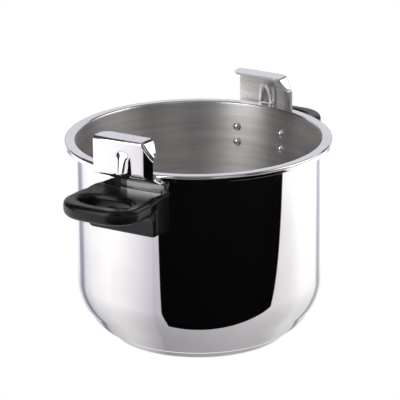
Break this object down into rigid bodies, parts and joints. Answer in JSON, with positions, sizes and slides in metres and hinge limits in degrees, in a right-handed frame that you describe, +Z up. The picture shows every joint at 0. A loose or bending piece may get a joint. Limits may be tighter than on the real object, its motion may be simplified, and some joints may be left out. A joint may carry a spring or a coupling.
{
  "type": "pressure cooker vessel",
  "caption": "Tall stainless steel pressure-cooker vessel with a rolled rim, upright lock brackets over two black loop handles, and a flat sandwich base; its lid is not included.",
  "frame": {"origin": "centre of the base on the surface the vessel stands on", "axes": "+Z up along the vessel's axis; the two handles lie on the X axis; the brackets' sloped corners face -Y"},
  "size_m": [0.358, 0.24, 0.2116],
  "materials": {
    "polished_steel": "18/10 stainless steel, mirror polished outside and on the rim, satin brushed inside",
    "aluminium_core": "plain rolled, hidden in the base",
    "phenolic_handle": "black phenolic moulding, satin",
    "plated_steel": "zinc-plated steel fasteners"
  },
  "bodies": {
    "root": {"base_cap": "polished_steel", "core_disc": "aluminium_core", "flat_washer_left": "plated_steel", "flat_washer_right": "plated_steel", "handle_left": "phenolic_handle", "handle_right": "phenolic_handle", "handle_screw_left": "plated_steel", "handle_screw_right": "plated_steel", "lock_bracket_left": "polished_steel", "lock_bracket_right": "polished_steel", "pot_shell": "polished_steel", "rivet_1_left": "polished_steel", "rivet_1_right": "polished_steel", "rivet_2_left": "polished_steel", "rivet_2_right": "polished_steel", "rivet_3_left": "polished_steel", "rivet_3_right": "polished_steel", "rivet_4_left": "polished_steel", "rivet_4_right": "polished_steel", "spring_washer_left": "plated_steel", "spring_washer_right": "plated_steel", "weld_nut_left": "plated_steel", "weld_nut_right": "plated_steel"}
  },
  "joints": []
}
